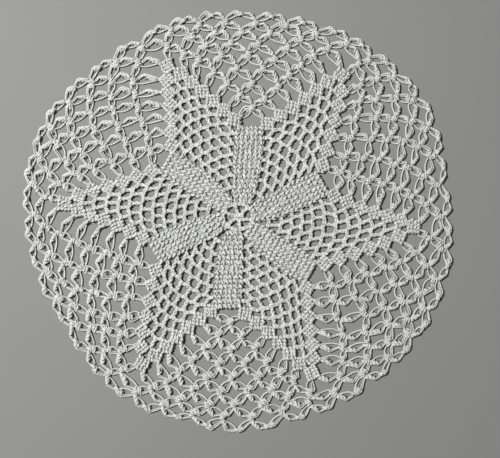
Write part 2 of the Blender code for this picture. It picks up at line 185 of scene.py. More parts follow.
def makeCotton(name, settings):
    material, shader, wire = newMaterial(name)
    # the thread map: mm along a strand, and share round it
    mapped = wire.out("ShaderNodeUVMap", 0, {"uv_map": "thread"})
    spot = wire.node("ShaderNodeSeparateXYZ", None, Vector=mapped)
    along, around = (Wire(wire.tree, spot.outputs[axis]) for axis in (0, 1))
    place = wire.out("ShaderNodeTexCoord", 3)
    tone = wire.out("ShaderNodeAttribute", 2, {"attribute_name": "strandTone"})
    # painted shade: the thread is darker low down in the work, by its height
    lift = wire.out("ShaderNodeAttribute", 2, {"attribute_name": "paintedHeightShade"})
    fuzz = wire.noise(place, 1 / (settings["fuzzSize"] * mm), settings["fuzzDetail"],
                      settings["fuzzRoughness"])
    cloud = wire.noise(place, 1 / (settings["cloudSize"] * mm), settings["cloudDetail"])
    patch = wire.noise(place, 1 / (settings["patchSize"] * mm), settings["patchDetail"])
    turn = 2 * math.pi
    # the plies: painted shade in their grooves, lighter on their crests
    ply = ((around * (turn * settings["plies"]) + along * (turn / settings["plyPitch"])).sine() + 1) * 0.5
    plyShadeAndTone = (ply * settings["plyShare"] + fuzz * settings["fuzzShare"] + tone * settings["toneShare"]
           + (patch - 0.5) * settings["patchSpan"] - settings["litBelow"]).clamped()
    plain = plyShadeAndTone.blend(settings["shade"], settings["light"])
    tint = tuple(part / settings["warmWhite"] for part in settings["warm"])
    warmed = wire.out("ShaderNodeMix", 2, {"data_type": "RGBA", "blend_type": "MULTIPLY"},
                      i0=1.0, i6=plain, i7=tint)
    warmth = ((cloud - settings["warmFrom"]) * settings["warmGain"]).clamped() * settings["warmMost"]
    # painted shade: a thread is painted brightest on top, duller on its flanks and low down in the work
    facing = wire.out("ShaderNodeSeparateXYZ", 2, None, Vector=wire.out("ShaderNodeNewGeometry", 1))
    flank = settings["flankShadeSpan"]
    seen = (lift * (abs(facing) ** settings["flankShadePower"] * flank + (1 - flank))).clamped()
    seen.blend(settings["deep"], warmth.blend(plain, warmed)).feed(shader.inputs["Base Color"])
    rough = fuzz * (settings["roughHigh"] - settings["roughLow"]) + settings["roughLow"]
    rough.feed(shader.inputs["Roughness"])
    relief = ply * settings["plyRelief"] + fuzz * settings["fuzzRelief"]
    bump = wire.out("ShaderNodeBump", 0, None, Height=relief, Distance=settings["bumpDepth"] * mm,
                    Strength=1.0)
    bump.feed(shader.inputs["Normal"])
    shader.inputs["Sheen Weight"].default_value = settings["sheen"]
    shader.inputs["Sheen Roughness"].default_value = settings["sheenRoughness"]
    shader.inputs["Specular IOR Level"].default_value = settings["specular"]
    return material


whiteCotton = makeCotton("whiteCotton", cottonSettings)
print("cotton mixed")


# mm and degrees; angles are anticlockwise from the right, and radii are from the star's centre
plan = dict(
    sextants=6, blocks=7, rounds=8,      # star points, blocks up one side of one, rounds of knotted loops
    starCentre=(0.406, 2.795),
    blockWidth=7.6, blockHeight=7.3, blockTurn=14.0, firstBlockRadius=59.0,
    spokeEnd=56.1, spokeTurn=7.8,
    rimStep=15.0, perSextant=7, rimKnotDrop=1.4)
spokeSides = (                       # distance out, anticlockwise side, clockwise side
    (5.0, 0.9, -5.2), (9.0, 2.4, -8.3), (12.0, 3.1, -9.6), (15.0, 3.6, -11.1),
    (17.4, 3.4, -11.9), (24.0, 2.9, -13.0), (30.0, 2.6, -14.1), (36.0, 2.4, -15.1),
    (43.0, 2.1, -15.8), (50.0, 1.4, -15.9), (56.1, 0.8, -15.2))
# a star point: the angle of its first blocks, and where its tip is
starRows = [dict(footAngle=f, tipAngle=t, tipRadius=r) for f, t, r in (
    (52.4, 54.2, 105.7), (112.8, 115.1, 100.5), (171.8, 175.4, 105.0),
    (232.8, 236.6, 105.7), (293.6, 295.2, 103.7), (352.4, 357.0, 105.6))]
# a pair of blocks: half the angle between them, and share of the way to the tip
blockRows = [dict(halfAngle=h, rise=r) for h, r in (
    (20.3, 0.0), (15.1, 0.148), (10.8, 0.306), (7.6, 0.478), (5.1, 0.653), (2.85, 0.822), (0.0, 1.0))]
# one every rimStep
rimRadii = (127.5, 128.7, 133.2, 130.8, 127.8, 124.4, 124.0, 124.4, 124.2, 125.0, 130.2, 130.5,
            128.4, 126.6, 123.6, 126.2, 128.6, 126.6, 129.6, 127.2, 128.1, 129.4, 130.6, 130.8)
# a round of loops: turn off the spoke's axis, step between knots, share of the way to the rim
latticeRows = [dict(turn=t, step=s, depth=d) for t, s, d in (
    (0.2, 0.0, 0.16), (0.9, 11.8, 0.236), (1.85, 10.7, 0.357), (3.15, 9.65, 0.488),
    (4.2, 9.0, 0.616), (5.35, 8.55, 0.721), (5.6, 8.35, 0.8375), (2.5, 8.57, 0.927))]
sideDrift = (                        # right and up, mm, halfway along a star point's row of blocks
    ((0.6, 0.2), (1.4, 0.1)), ((0.2, 0.1), (0.4, 0.1)), ((0.0, 0.0), (-0.2, -0.8)),
    ((1.0, 0.0), (0.0, -0.1)), ((0.8, -0.2), (1.5, 1.5)), ((0.7, 0.0), (-0.2, -0.2)))
driftStep = 0.6                      # mm
knotDrift = (                        # how far a knot lies off the even lattice, right and up, in steps;
                                     # one group a sextant, in it one row a round, clockwise
    (((0, 0),),
     ((1, 2), (0, 1)),
     ((0.5, 1), (0.5, 1), (2, 2)),
     ((1.5, 0), (0, 1), (1.5, 2), (3, 0.5)),
     ((1.5, 0), (0, 0), (1, 0), (1.5, -1), (3.5, -1.5)),
     ((3, -0.5), (0, 0), (-1, 0), (0.5, 0), (4, 0.5), (5, -2)),
     ((3, -1.5), (2.5, -0.5), (-1.5, -2), (-3, -2), (-2, -1), (2, -1.5), (3, -2)),
     ((3, 1), (3, -1), (0, -2.5), (0, -3), (1, -1), (2.5, -3.5), (4, -1.5))),
    (((1.5, -0.5),),
     ((-1.5, -2), (-2.5, 1.5)),
     ((-1.5, -3), (-2.5, -2), (-4, -0.5)),
     ((-2, -2), (-2, -2), (-3.5, -2.5), (-3, -1.5)),
     ((1, -1), (-2.5, -4), (-4, -4), (-4, -3), (-2, -4)),
     ((1, -0.5), (0, -4), (-4, -4), (-3, -4), (-2.5, -3.5), (-1, -3.5)),
     ((2.5, -3), (-1, -5), (-1.5, -4), (-2, -6), (-2.5, -4.5), (-2.5, -4), (1.5, -3.5)),
     ((-0.5, -1.5), (-1, -3), (-1.5, -3), (-1.5, -3), (-2, -3), (-1, -2.5), (2, -2.5))),
    (((1.5, -2.5),),
     ((-1, -3.5), (-3, -3)),
     ((0, -2.5), (0, -3), (0.5, -3.5)),
     ((1, -3), (0, -3), (0, -2.5), (0, -1.5)),
     ((0.5, -1), (0.5, -3), (0, -2), (0.5, -0.5), (0.5, 1)),
     ((0, 1.5), (1.5, 2), (0, -2), (0, -2), (0.5, 1), (-1.5, 3.5)),
     ((0.5, 2), (3, 1.5), (5, 1.5), (0, -0.5), (1, 0), (1, 1.5), (0, 1.5)),
     ((-0.5, 1.5), (1.5, 2.5), (1, 2), (0, 3), (2.5, 2.5), (1.5, 0.5), (2, -0.5))),
    (((4.5, 7),),
     ((2.5, 3), (4.5, 1.5)),
     ((2.5, 5), (3.5, 3.5), (2.5, 0)),
     ((-1, 3), (2.5, 6.5), (2, 4), (0, 0.5)),
     ((-2, 3.5), (0, 7), (0.5, 7.5), (1, 2.5), (-1.5, 2)),
     ((-5.5, 3.5), (-2.5, 3.5), (-0.5, 8), (-1, 5), (-2, 1), (-2, 1)),
     ((-7, -1), (-2.5, 4), (-1.5, 5.5), (-0.5, 8.5), (1, 2.5), (-0.5, 0.5), (-1.5, 4)),
     ((-4, 4), (-1.5, 4), (-3, 5), (0, 6), (-1, 1.5), (-1, 2.5), (0, 4))),
    (((3, 0),),
     ((5, -2), (4.5, -1.5)),
     ((2.5, 0), (4.5, -1.5), (3, -3)),
     ((0.5, 1.5), (3, 0.5), (7, -1.5), (3, -3.5)),
     ((-2.5, -1), (0.5, 1.5), (2.5, 1), (1, -2.5), (-2, -0.5)),
     ((-2.5, -3), (-1.5, -1), (1.5, 0), (2.5, 0), (0, -1), (-4, 0)),
     ((-2.5, 1), (-3.5, 1.5), (-1.5, 1), (0.5, 0.5), (-1, 0), (-2, 1.5), (-6, 2)),
     ((0, 0), (-3, 0), (-2.5, 0), (-2.5, -0.5), (-2, 0), (-4, 4), (-6, 1.5))),
    (((-3, 1.5),),
     ((-1.5, 0.5), (-2, 3)),
     ((-1.5, 0), (-1, 2), (-3, 4.5)),
     ((-1.5, -1), (-1.5, -0.5), (-3.5, 3.5), (-4, 4)),
     ((0, -4), (-2, -1), (-4, 1), (-4, 2), (-5, 3)),
     ((3, -6), (-2, -2), (-2, 0), (-3.5, 2.5), (-4.5, 3.5), (-5, 1.5)),
     ((2.5, -3), (-1.5, -0.5), (-4, 0.5), (-3.5, 1.5), (-5.5, 4.5), (-4.5, 3), (-4.5, 3.5)),
     ((-1.5, -3), (-0.5, -0.5), (-2.5, 0), (-3.5, -0.5), (-3.5, 3.5), (-3, 5), (-1.5, 3.5))))


def polar(angle, radius):
    turn = math.radians(angle)
    return Vector((math.cos(turn), math.sin(turn))) * radius


def angleOf(point):
    return math.degrees(math.atan2(point.y, point.x))


def rimRadius(angle):
    place = (angle % 360.0) / plan["rimStep"]
    first = int(place)
    t = place - first
    a, b, c, d = (rimRadii[(first + step) % len(rimRadii)] for step in (-1, 0, 1, 2))
    return 0.5 * (2 * b + (c - a) * t + (2 * a - 5 * b + 4 * c - d) * t * t
                  + (3 * b - a - 3 * c + d) * t ** 3)


def blockPlace(star, side, number):
    turns, index = divmod(star, len(starRows))
    point, row = starRows[index], blockRows[number - 1]
    radius = plan["firstBlockRadius"] + (point["tipRadius"] - plan["firstBlockRadius"]) * row["rise"]
    middle = point["footAngle"] + (point["tipAngle"] - point["footAngle"]) * row["rise"]
    return middle + side * row["halfAngle"] + 360.0 * turns, radius


def blockPoint(star, side, number, across, along):
    # across is away from the star point's axis, along is outward, both from -1 to 1
    angle, radius = blockPlace(star, side, number)
    out = polar(angle + (side * plan["blockTurn"] if number < plan["blocks"] else 0.0), 1.0)
    away = Vector((-out.y, out.x)) * side
    drift = Vector(sideDrift[star % plan["sextants"]][0 if side > 0 else 1])
    drift = drift * math.sin(math.pi * number / plan["blocks"])
    return (polar(angle, radius) + drift + out * (along * plan["blockHeight"] / 2)
            + away * (across * plan["blockWidth"] / 2))


def spokeAxis(spoke):
    return (blockPlace(spoke, 1, 1)[0] + blockPlace(spoke + 1, -1, 1)[0]) / 2


def between(rows, key, column):
    # straight-line reading of a table of rows
    if key <= rows[0][0]:
        return rows[0][column]
    for low, high in zip(rows, rows[1:]):
        if key <= high[0]:
            return low[column] + (high[column] - low[column]) * (key - low[0]) / (high[0] - low[0])
    return rows[-1][column]


def spokeSpot(spoke, across, distance):
    # across is mm to the anticlockwise side of the spoke's own line, distance is along that line
    out = polar(spokeAxis(spoke) + plan["spokeTurn"], 1.0)
    return out * distance + Vector((-out.y, out.x)) * across


def spokePoint(spoke, share, radius):
    # share 0 is the anticlockwise side, 1 the clockwise one; radius is from the centre
    distance = radius
    for _ in range(4):   # it settles in four steps
        straightSide, wideSide = between(spokeSides, distance, 1), between(spokeSides, distance, 2)
        offset = straightSide + (wideSide - straightSide) * share
        distance = math.sqrt(max(0.0, radius * radius - offset * offset))
    return spokeSpot(spoke, offset, distance)


def knotAt(spoke, level, place):
    count = min(level, plan["perSextant"])
    if place > count:
        return knotAt(spoke - 1, level, place - count)
    if place < 1:
        return knotAt(spoke + 1, level, place + count)
    row = latticeRows[level - 1]
    angle = spokeAxis(spoke) + row["turn"] + ((count + 1) / 2 - place) * row["step"]
    radius = plan["spokeEnd"] + (rimRadius(angle) - plan["spokeEnd"]) * row["depth"]
    drift = knotDrift[spoke % len(knotDrift)][level - 1][place - 1]
    return polar(angle, radius) + Vector(drift) * driftStep


def rimKnot(spoke, place):
    before, after = (knotAt(spoke, plan["rounds"], number) for number in (place, place + 1))
    angle = angleOf((before + after) / 2)
    return polar(angle, rimRadius(angle) - plan["rimKnotDrop"])


def curveWeights(stops, samples):
    # smooth curve through the stops: one row of weights a sample
    weights = np.zeros((samples, stops))
    for row in range(samples):
        place = row * (stops - 1) / (samples - 1)
        first = min(int(place), stops - 2)
        t = place - first
        parts = ((-t + 2 * t * t - t ** 3) / 2, (2 - 5 * t * t + 3 * t ** 3) / 2,
                 (t + 4 * t * t - 3 * t ** 3) / 2, (-t * t + t ** 3) / 2)
        for step, part in zip((-1, 0, 1, 2), parts):
            stop = first + step
            if stop < 0:
                weights[row, 0] += 2 * part
                weights[row, 1] -= part
            elif stop >= stops:
                weights[row, -1] += 2 * part
                weights[row, -2] -= part
            else:
                weights[row, stop] += part
    return weights


def unit(vectors):
    return vectors / np.maximum(np.linalg.norm(vectors, axis=-1, keepdims=True), 1e-9)


yarnSettings = dict(
    endGirth=0.62,               # share of its girth that a strand has at its ends
    plyShift=7.0,                # mm, most that the plies of one strand are ahead of another's
    shadeSpan=1.5,               # mm from deepest painted shade to none
    underTop=0.50, underSpan=0.35)   # mm, lower than this a thread is painted bright again, for its underside viewed from below


class Yarn:
    # collects the strands of one piece and makes one mesh of them
    def __init__(self, name, sides):
        self.name, self.sides, self.groups = name, sides, {}

    def strand(self, stops, radius, samples, dark):
        # dark is the height at which the thread is painted in deepest shade
        self.groups.setdefault((len(stops), samples), []).append((stops, radius, rng.random(), dark))

    def tubes(self, stops, samples, strands):
        # the centre lines of a group of strands, and the rings of points round them
        line = np.einsum("sk,nkc->nsc", curveWeights(stops, samples),
                         np.array([s[0] for s in strands], float))
        radius = np.array([s[1] for s in strands])
        line[..., 2] = np.maximum(line[..., 2], radius[:, None])   # it lies on the table, not in it
        along = unit(np.gradient(line, axis=1))
        normal = np.empty_like(line)
        normal[:, 0] = unit(np.cross(along[:, 0], (0.0, 0.0, 1.0)) + 1e-6)
        for i in range(1, samples):
            # a ring's frame is carried on from the ring before, so that the strand doesn't twist
            before, ahead = normal[:, i - 1], along[:, i]
            normal[:, i] = unit(before - ahead * np.sum(before * ahead, axis=1, keepdims=True))
        other = np.cross(along, normal)
        girth = np.ones(samples)
        girth[0] = girth[-1] = yarnSettings["endGirth"]
        turn = np.arange(self.sides) / self.sides * 2 * math.pi
        ring = (normal[:, :, None] * np.cos(turn)[None, None, :, None]
                + other[:, :, None] * np.sin(turn)[None, None, :, None])
        return line, line[:, :, None] + ring * (radius[:, None] * girth[None])[:, :, None, None]

    def threadMap(self, line, tone):
        # the corners of every face: mm along the strand, and share round it
        step = np.linalg.norm(np.diff(line, axis=1), axis=2)
        far = np.concatenate([np.zeros((len(line), 1)), np.cumsum(step, axis=1)], axis=1)
        far += tone[:, None] * yarnSettings["plyShift"]
        u0 = np.repeat(far[:, :-1, None], self.sides, axis=2)
        u1 = np.repeat(far[:, 1:, None], self.sides, axis=2)
        v0 = np.broadcast_to(np.arange(self.sides) / self.sides, u0.shape)
        v1 = v0 + 1.0 / self.sides
        corners = [np.stack(corner, -1) for corner in ((u0, v0), (u1, v0), (u1, v1), (u0, v1))]
        return np.stack(corners, axis=-2).reshape(-1, 2)

    def paintedShadeByHeight(self, height, dark):
        # painted shade, from 0 (deepest) to 1 (none), by a point's height above the table
        above = np.clip((height - dark[:, None, None]) / yarnSettings["shadeSpan"], 0, 1)
        below = np.clip((yarnSettings["underTop"] - height) / yarnSettings["underSpan"], 0, 1)
        return np.maximum(above, below).ravel()

    def build(self):
        sides = self.sides
        points, quads, ends, thread, tones, paintedShades = [], [], [], [], [], []
        count = 0
        for (stops, samples), strands in sorted(self.groups.items()):
            line, ring = self.tubes(stops, samples, strands)
            tone, dark = (np.array([s[column] for s in strands]) for column in (2, 3))
            index = count + np.arange(len(strands) * samples * sides).reshape(-1, samples, sides)
            after = np.roll(index, -1, axis=2)
            faces = np.stack([index[:, :-1], index[:, 1:], after[:, 1:], after[:, :-1]], axis=-1)
            quads.append(faces.reshape(-1, 4))
            ends += [index[:, 0], index[:, -1, ::-1]]
            points.append(ring.reshape(-1, 3))
            thread.append(self.threadMap(line, tone))
            tones.append(np.repeat(tone, samples * sides))
            paintedShades.append(self.paintedShadeByHeight(ring[..., 2], dark))
            count += index.size
        points, quads, ends, thread, tones, paintedShades = (
            np.concatenate(parts) for parts in (points, quads, ends, thread, tones, paintedShades))
        mesh = self.meshOf(points, quads, ends)
        uvs = np.zeros((len(mesh.loops), 2), np.float32)
        uvs[:len(thread)] = thread
        mesh.uv_layers.new(name="thread").data.foreach_set("uv", uvs.ravel())
        for name, values in (("strandTone", tones), ("paintedHeightShade", paintedShades)):
            mesh.attributes.new(name, "FLOAT", "POINT").data.foreach_set("value", values.astype(np.float32))
        mesh.update(calc_edges=True)
        if mesh.validate():
            print(self.name, "needed mending")
        mesh.materials.append(whiteCotton)
        piece = bpy.data.objects.new(self.name, mesh)
        bpy.context.scene.collection.objects.link(piece)
        triangles = len(quads) * 2 + len(ends) * (sides - 2)
        print(self.name, sum(len(g) for g in self.groups.values()), "strands", triangles, "triangles")
        return piece

    def meshOf(self, points, quads, ends):
        # points in mm round the star's centre, the faces along the strands, and those that close them
        shift = np.array([*plan["starCentre"], 0.0])
        mesh = bpy.data.meshes.new(self.name)
        mesh.vertices.add(len(points))
        mesh.vertices.foreach_set("co", ((points + shift) * mm).astype(np.float32).ravel())
        corners = np.concatenate([quads.ravel(), ends.ravel()])
        mesh.loops.add(len(corners))
        mesh.loops.foreach_set("vertex_index", corners.astype(np.int32))
        totals = np.concatenate([np.full(len(quads), 4), np.full(len(ends), self.sides)])
        starts = np.concatenate([[0], np.cumsum(totals)[:-1]])
        mesh.polygons.add(len(totals))
        mesh.polygons.foreach_set("loop_start", starts.astype(np.int32))
        mesh.polygons.foreach_set("use_smooth", np.ones(len(totals), bool))
        return mesh


def wobble(amount):
    return rng.uniform(-amount, amount)


# a leg of a V: share along, share across, share of the rise
spokeLeg = ((-0.10, 0.04, -0.2), (0.12, 0.14, 0.66), (0.42, 0.27, 1.0), (0.70, 0.35, 0.70),
            (0.92, 0.36, -0.2))
blockLeg = ((-0.12, 0.02, 0.0), (0.10, 0.15, 0.62), (0.42, 0.28, 1.0), (0.74, 0.35, 0.78),
            (0.98, 0.30, 0.0))
chainLeg = ((-0.20, 0.05, 0.0), (0.06, 0.17, 0.60), (0.45, 0.27, 1.0), (0.82, 0.22, 0.72),
            (1.12, 0.06, 0.0))
# the two legs of a stitch: hand, share shifted across, girth, height in mm, and mm higher that its painted
# deepest shade reaches
unevenLegs = ((-1.2, 0.0, 0.88, -0.14, 0.45), (1.5, -0.30, 1.22, 0.06, 0.0))
evenLegs = ((-1, 0.0, 1.0, 0.0, 0.0), (1, 0.0, 1.0, 0.0, 0.0))
# wobble moves a whole stitch and shake each stop of a leg, in mm; uneven is the share of its girth
# dark is the height in mm at which a stitch is painted in deepest shade; darkSpan is how far that differs
# from stitch to stitch
spokeStitch = dict(leg=spokeLeg, legs=unevenLegs, radius=0.66, low=0.60, rise=1.25, wobble=0.46,
                   shake=0.30, uneven=0.18, samples=7, dark=0.58, darkSpan=0.25)
blockStitch = dict(leg=blockLeg, legs=unevenLegs, radius=0.62, low=0.62, rise=1.25, wobble=0.36,
                   shake=0.25, uneven=0.18, samples=6, dark=0.42, darkSpan=0.25)
chainStitch = dict(leg=chainLeg, legs=evenLegs, radius=0.76, low=0.66, rise=1.0, wobble=0.20,
                   shake=0.16, uneven=0.16, samples=6, dark=0.60, darkSpan=0.25)


def drawStitch(yarn, foot, top, width, settings, level=0.0):
    # one V, from its foot to the foot of the next
    run = top - foot
    ahead = run.normalized()
    side = Vector((-ahead.y, ahead.x))
    shake, lift = wobble(settings["wobble"]), wobble(settings["wobble"])
    # painted shade: its height differs a little from stitch to stitch
    dark = settings["dark"] + wobble(settings["darkSpan"])
    for hand, shifted, girth, height, deeper in settings["legs"]:
        stops = []
        for along, across, rise in settings["leg"]:
            place = foot + run * along + side * ((hand * across + shifted) * width + shake)
            stops.append((place.x + wobble(settings["shake"]), place.y + wobble(settings["shake"]),
                          settings["low"] + level + height + rise * (settings["rise"] + lift)))
        yarn.strand(stops, settings["radius"] * girth * (1 + wobble(settings["uneven"])), settings["samples"],
                    dark + deeper)


def stitchRun(yarn, path, count, width, settings, level=0.0):
    # a run of stitches along a path; path(t) gives a point, t from 0 to 1
    spots = [path(number / count) for number in range(count + 1)]
    for foot, top in zip(spots, spots[1:]):
        drawStitch(yarn, foot, top, width, settings, level)


def bent(stops):
    # a path through stops joined by straight lines
    stops = [Vector(stop) for stop in stops]

    def path(t):
        place = t * (len(stops) - 1)
        first = min(int(place), len(stops) - 2)
        return stops[first] + (stops[first + 1] - stops[first]) * (place - first)
    return path


backingSettings = dict(
    shares=(0.0, 0.25, 0.5, 0.75, 1.0), samples=6,
    level=0.85, sway=0.22, lift=0.05,    # mm
    # dark: height in mm at which a backing thread is painted in deepest shade
    dark=-0.2)


def drawBacking(yarn, start, end, radius, level=backingSettings["level"]):
    # a thread lying low across the back of solid work
    side = (end - start).normalized()
    turned = Vector((-side.y, side.x))
    stops = []
    for share in backingSettings["shares"]:
        place = start + (end - start) * share + turned * wobble(backingSettings["sway"])
        stops.append((place.x, place.y, level + wobble(backingSettings["lift"])))
    yarn.strand(stops, radius, backingSettings["samples"], backingSettings["dark"])


spokeSettings = dict(
    sides=6,                             # of a thread
    start=8.4, pitch=2.92, rows=16,      # mm from the centre, mm a row
    ribs=((8.0, 3), (13.0, 4), (20.5, 5), (99.0, 6)),   # up to a distance out, this many ribs
    backing=0.62, backingShares=(0.0, 0.33, 0.67), inset=0.4)


def sideSpot(spoke, share, distance):
    straightSide, wideSide = between(spokeSides, distance, 1), between(spokeSides, distance, 2)
    return spokeSpot(spoke, straightSide + (wideSide - straightSide) * share, distance)


def buildSpokes():
    yarn = Yarn("starSpokes", spokeSettings["sides"])
    pitch, inset = spokeSettings["pitch"], spokeSettings["inset"]
    for spoke in range(plan["sextants"]):
        for row in range(spokeSettings["rows"]):
            low = spokeSettings["start"] + row * pitch
            high = low + pitch
            middle = (low + high) / 2
            ribs = next(count for limit, count in spokeSettings["ribs"] if middle < limit)
            wide = between(spokeSides, middle, 1) - between(spokeSides, middle, 2)
            for rib in range(ribs):
                foot, top = (sideSpot(spoke, (rib + 0.5) / ribs, distance) for distance in (low, high))
                drawStitch(yarn, foot, top, wide / ribs, spokeStitch)
            for share in spokeSettings["backingShares"]:
                at = low + pitch * share
                start = spokeSpot(spoke, between(spokeSides, at, 1) - inset, at)
                end = spokeSpot(spoke, between(spokeSides, at, 2) + inset, at)
                drawBacking(yarn, start, end, spokeSettings["backing"])
    return yarn.build()


blockSettings = dict(
    sides=5, ribs=4, rows=4,
    fill=1.08, inward=0.04,                          # how far stitches spread, and lie inward
    ribShake=0.06, lean=0.12, levelShake=0.12,       # all shares of half a block, but the level in mm
    backing=0.66, backingShares=(0.25, 0.75), backingReach=0.90,
    edge=0.92, edgeLevel=1.10)                       # the threads along its four edges


def blockSides(number):
    # a star point has its blocks in pairs, and one at its tip
    return (1, -1) if number < plan["blocks"] else (1,)


def drawBlock(yarn, spot):
    # spot(across, along) gives a point of the block
    ribs, rows, fill = blockSettings["ribs"], blockSettings["rows"], blockSettings["fill"]
    reach, edge, backing = blockSettings["backingReach"], blockSettings["edge"], blockSettings["backing"]
    for row in range(rows):
        low, high = ((2 * step / rows - 1) * fill - blockSettings["inward"] for step in (row, row + 1))
        for rib in range(ribs):
            across = ((rib + 0.5) / ribs * 2 - 1) * fill + wobble(blockSettings["ribShake"])
            foot = spot(across, low)
            top = spot(across + wobble(blockSettings["lean"]), high)
            drawStitch(yarn, foot, top, plan["blockWidth"] * fill / ribs, blockStitch,
                       wobble(blockSettings["levelShake"]))
        for share in blockSettings["backingShares"]:
            along = low + (high - low) * share
            drawBacking(yarn, spot(-reach, along), spot(reach, along), backing)
    for far in (-edge, edge):
        for one, two in (((far, -edge), (far, edge)), ((-edge, far), (edge, far))):
            drawBacking(yarn, spot(*one), spot(*two), backing, blockSettings["edgeLevel"])


def buildBlocks():
    yarn = Yarn("starBlocks", blockSettings["sides"])
    for star in range(plan["sextants"]):
        for number in range(1, plan["blocks"] + 1):
            for side in blockSides(number):
                drawBlock(yarn, lambda across, along: blockPoint(star, side, number, across, along))
    return yarn.build()


netSettings = dict(
    sides=5, spokeRounds=6, mostHoles=7,                     # rounds between spokes, holes in the widest
    wallRadii=(19.2, 26.0, 32.1, 38.1, 44.2, 50.4),          # where a round meets the spokes
    middleRadii=(17.7, 25.8, 32.0, 38.0, 44.4, 51.1),        # and in the middle of the star point
    starScale=(1.006, 0.982, 1.004, 1.0, 0.972, 1.005),      # one value a star point
    blockBow=(3.7, 3.3, 2.2, 1.3, 0.6, 0.0),                 # rise of a round between two blocks
    starBow=(1.08, 0.78, 1.05, 1.0, 0.66, 1.06),
    spokeCrown=3, blockCrown=2.5,                            # the higher, the flatter a round's middle
    endShare=(0.72, 0.72, 0.72, 0.72, 0.76, 0.80),           # width of a round's end holes, of the others'
    # how far the posts of a star point lean, and its joints are slid along, in shares of an arch
    starLean=(0.12, 0.12, 0.12, 0.20, 0.40, 0.0), starSlide=(0.0, 0.03, 0.03, 0.07, 0.22, 0.12),
    roundSlide=(0.0, 0.0, 0.3, 0.8, 1.0, 1.0), roundLean=(0.5, 1.0),
    archFoot=(0.16, 0.36), sideArchFoot=(0.64, -0.62),       # where posts stand on the arch below
    archRise=1.15, archDrop=0.45, width=2.2, pitch=2.3, level=-0.05)   # mm


def netRound(star, number):
    # curve of a round across a star point, from its clockwise side (0) to its anticlockwise one (1)
    block = number - netSettings["spokeRounds"]
    if block > 0:
        # it hangs between the lower inner corners of a pair of blocks
        start, end = (blockPoint(star, side, block, -1.0, -1.0) for side in (-1, 1))
        rise = (start + end).normalized() * netSettings["blockBow"][block - 1] * netSettings["starBow"][star]
        crown = netSettings["blockCrown"]
        return lambda share: start + (end - start) * share + rise * (1 - abs(2 * share - 1) ** crown)
    wall, middle = (netSettings[radii][number - 1] for radii in ("wallRadii", "middleRadii"))
    bow = middle * netSettings["starScale"][star] - wall
    start, end = spokePoint(star - 1, 0.0, wall), spokePoint(star, 1.0, wall)
    startAngle, endAngle = angleOf(start), angleOf(end)
    if endAngle < startAngle:
        endAngle += 360.0

    def curve(share):
        lift = bow * (1 - abs(2 * share - 1) ** netSettings["spokeCrown"])
        return polar(startAngle + (endAngle - startAngle) * share,
                     start.length + (end.length - start.length) * share + lift)
    return curve


def holesIn(number):
    # one more each round, up to the widest, then one fewer
    return min(number, 2 * netSettings["mostHoles"] - number)


def joint(star, number, place):
    # share along a round where arch number place ends
    holes = holesIn(number)
    if number > netSettings["spokeRounds"]:
        return (place - 1) / (holes - 2) if holes > 2 else 0.5
    if place <= 0 or place >= holes:
        return 0.0 if place <= 0 else 1.0
    end = netSettings["endShare"][number - 1]
    slide = netSettings["starSlide"][star] * netSettings["roundSlide"][number - 1]
    return (end + place - 1 + slide) / (holes - 2 + 2 * end)


def archSpot(curve, first, last, t):
    # a point on an arch, which rises between its two ends
    point = curve(first + (last - first) * t)
    lift = netSettings["archRise"] * (1 - (2 * t - 1) ** 2) - netSettings["archDrop"]
    return point + point.normalized() * lift


def drawArches(yarn, star, number, curve):
    # the chains of a round; between two blocks it has none at its ends
    holes = holesIn(number)
    for arch in (range(holes) if number <= netSettings["spokeRounds"] else range(1, holes - 1)):
        first, last = joint(star, number, arch), joint(star, number, arch + 1)
        count = max(2, round((curve(last) - curve(first)).length / netSettings["pitch"]))
        stitchRun(yarn, lambda t: archSpot(curve, first, last, t), count, netSettings["width"],
                  chainStitch, netSettings["level"])


postSettings = dict(
    shares=(-0.12, 0.12, 0.36, 0.60, 0.84, 1.08), samples=9, turns=1.1,
    # dark: height in mm at which a post is painted in deepest shade
    radius=0.90, uneven=0.12, spread=0.72, shake=0.06, level=1.05, swing=0.38, dark=0.55)   # mm


def twistedPost(yarn, foot, top):
    # two threads laid round each other
    run = top - foot
    side = Vector((-run.y, run.x)).normalized()
    start = rng.uniform(0, math.pi)
    for hand in (0.0, math.pi):
        stops = []
        for share in postSettings["shares"]:
            phase = start + hand + 2 * math.pi * postSettings["turns"] * share
            place = foot + run * share + side * (
                math.cos(phase) * postSettings["spread"] + wobble(postSettings["shake"]))
            stops.append((place.x, place.y, postSettings["level"] + postSettings["swing"] * math.sin(phase)))
        yarn.strand(stops, postSettings["radius"] * (1 + wobble(postSettings["uneven"])),
                    postSettings["samples"], postSettings["dark"])


nubSettings = dict(
    threads=((0.5, 1.75), (-0.6, 1.5)),              # turn in radians, height of its top in mm
    rows=((-1.0, 0.0), (-0.45, 0.8), (0.1, 1.0), (0.55, 0.75), (1.0, 0.0)),   # shares of reach and rise
    reach=1.35, foot=0.75, shake=0.12,               # mm
    # dark: height in mm at which a nub is painted in deepest shade
    radius=0.78, uneven=0.12, samples=6, dark=0.30)


def netNub(yarn, place, run):
    # the head of a post, two short threads over the joint
    ahead = run.normalized()
    side = Vector((-ahead.y, ahead.x))
    shake, foot = nubSettings["shake"], nubSettings["foot"]
    for turn, height in nubSettings["threads"]:
        reach = side * math.cos(turn) + ahead * math.sin(turn)
        stops = []
        for share, rise in nubSettings["rows"]:
            spot = place + reach * share * nubSettings["reach"] + Vector((wobble(shake), wobble(shake)))
            stops.append((spot.x, spot.y, foot + (height - foot) * rise))
        yarn.strand(stops, nubSettings["radius"] * (1 + wobble(nubSettings["uneven"])),
                    nubSettings["samples"], nubSettings["dark"])


